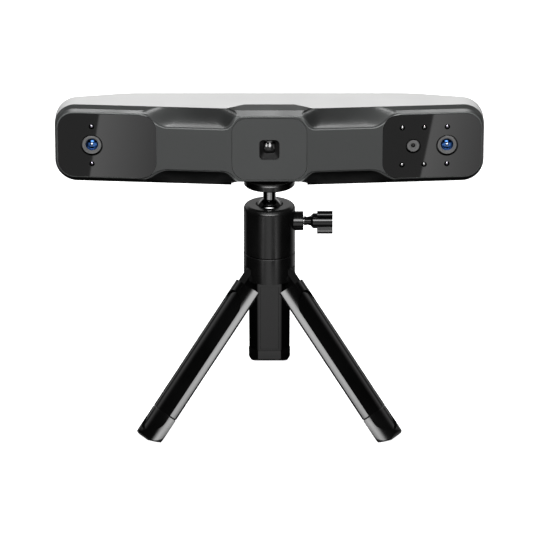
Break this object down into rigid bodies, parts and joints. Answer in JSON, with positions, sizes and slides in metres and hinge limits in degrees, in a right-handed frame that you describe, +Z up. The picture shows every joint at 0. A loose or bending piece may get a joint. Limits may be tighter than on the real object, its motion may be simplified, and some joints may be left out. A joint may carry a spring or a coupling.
{
  "type": "desktop 3d scanner",
  "caption": "Bar-shaped structured-light desktop 3D scanner with a central projector and stereo cameras, on a folding mini tripod with a lockable ball head.",
  "frame": {"origin": "under the middle of the object's box, on the floor plane that the three feet stand on", "axes": "+X along the scanner bar to the lock knob's side, +Y from the front face to the back, +Z up; the scanner looks along -Y"},
  "size_m": [0.295, 0.1634, 0.2301],
  "materials": {
    "black_shell": "gloss black moulded plastic",
    "rubber": "black soft foot rubber",
    "satin_black": "satin black anodised",
    "steel": "turned steel",
    "ball_chrome": "dark polished chrome",
    "nylon": "natural nylon",
    "pad_rubber": "thin black grip pad",
    "brass": "turned brass",
    "black_knob": "gloss black moulded plastic",
    "bezel_grey": "dark grey fine satin",
    "plate_grey": "dark grey fine satin",
    "window_black": "gloss black, optically clear for infrared",
    "barrel_grey": "dark anodised aluminium",
    "lens_glass": "coated optical glass, blue",
    "led_clear": "clear LED lens",
    "board_green": "solder-masked circuit board",
    "module_black": "black glass-filled plastic",
    "shell_silver": "light silver-grey fine satin paint on plastic",
    "bench_aluminium": "bead-blasted aluminium plate",
    "sink_black": "black anodised aluminium",
    "button_black": "dark grey satin plastic",
    "light_clear": "frosted light pipe"
  },
  "bodies": {
    "stand": {"hub": "satin_black", "hinge_pins": "steel", "hub_screw": "steel", "head_housing": "satin_black", "base_plug": "satin_black"},
    "leg_left": {"leg_left": "black_shell", "leg_cover_left": "black_shell", "foot_left": "rubber"},
    "leg_right": {"leg_right": "black_shell", "leg_cover_right": "black_shell", "foot_right": "rubber"},
    "leg_back": {"leg_back": "black_shell", "leg_cover_back": "black_shell", "foot_back": "rubber"},
    "cup": {"ball_cup": "nylon"},
    "ball_unit": {"ball": "ball_chrome", "screw_plate": "satin_black", "plate_pad": "pad_rubber", "mounting_screw": "steel"},
    "lock_slide": {"lock_pin": "brass"},
    "lock_knob": {"lock_screw": "steel", "lock_knob": "black_knob"},
    "scanner": {"front_bezel": "bezel_grey", "centre_plate": "plate_grey", "left_window": "window_black", "left_lens_barrel": "barrel_grey", "left_lens": "lens_glass", "left_infrared_leds": "led_clear", "left_led_board": "board_green", "left_camera_module": "module_black", "right_window": "window_black", "right_lens_barrel": "barrel_grey", "right_lens": "lens_glass", "right_infrared_leds": "led_clear", "right_led_board": "board_green", "right_camera_module": "module_black", "colour_lens_barrel": "barrel_grey", "colour_lens": "lens_glass", "colour_camera_module": "module_black", "flash_leds": "led_clear", "projector_shroud": "module_black", "projector_lens": "lens_glass", "projector_module": "module_black", "rear_shell": "shell_silver", "optical_bench": "bench_aluminium", "main_board": "board_green", "heat_sink": "sink_black", "usb_c_socket": "steel", "power_switch": "module_black", "light_pipe": "light_clear", "tripod_insert": "brass", "bezel_screws": "steel", "shell_screws": "steel", "board_screws": "steel"},
    "button": {"power_button": "button_black"}
  },
  "joints": [
    {"name": "leg_left_hinge", "type": "hinge", "parent": "stand", "child": "leg_left", "pos_m": [-0.01039, -0.02667, 0.1064], "axis": [0.5, -0.866, 0], "range_deg": [0, 39.5]},
    {"name": "leg_right_hinge", "type": "hinge", "parent": "stand", "child": "leg_right", "pos_m": [0.01039, -0.02667, 0.1064], "axis": [0.5, 0.866, 0], "range_deg": [0, 39.5]},
    {"name": "leg_back_hinge", "type": "hinge", "parent": "stand", "child": "leg_back", "pos_m": [0, -0.00867, 0.1064], "axis": [-1, 0, 0], "range_deg": [0, 39.5]},
    {"name": "pan_swivel", "type": "hinge", "parent": "stand", "child": "cup", "pos_m": [0, -0.02067, 0.1505], "axis": [0, 0, 1], "continuous": true},
    {"name": "tilt_hinge", "type": "hinge", "parent": "cup", "child": "ball_unit", "pos_m": [0, -0.02067, 0.1505], "axis": [1, 0, 0], "range_deg": [-30, 30]},
    {"name": "plate_swivel", "type": "hinge", "parent": "ball_unit", "child": "scanner", "pos_m": [0, -0.02067, 0.1748], "axis": [0, 0, 1], "continuous": true},
    {"name": "lock_travel", "type": "slide", "parent": "stand", "child": "lock_slide", "axis": [1, 0, 0], "range_m": [0, 0.0006]},
    {"name": "lock_knob_turn", "type": "hinge", "parent": "lock_slide", "child": "lock_knob", "pos_m": [0.03, -0.02067, 0.1425], "axis": [1, 0, 0], "range_deg": [0, 270]},
    {"name": "power_button_press", "type": "slide", "parent": "scanner", "child": "button", "axis": [0, -1, 0], "range_m": [0, 0.0005], "stiffness_N_per_m": 1500, "springref_m": -0.0003}
  ],
  "couplings": [
    {"joint": "lock_knob_turn", "follows": "lock_travel", "rad_per_m": 7854}
  ]
}
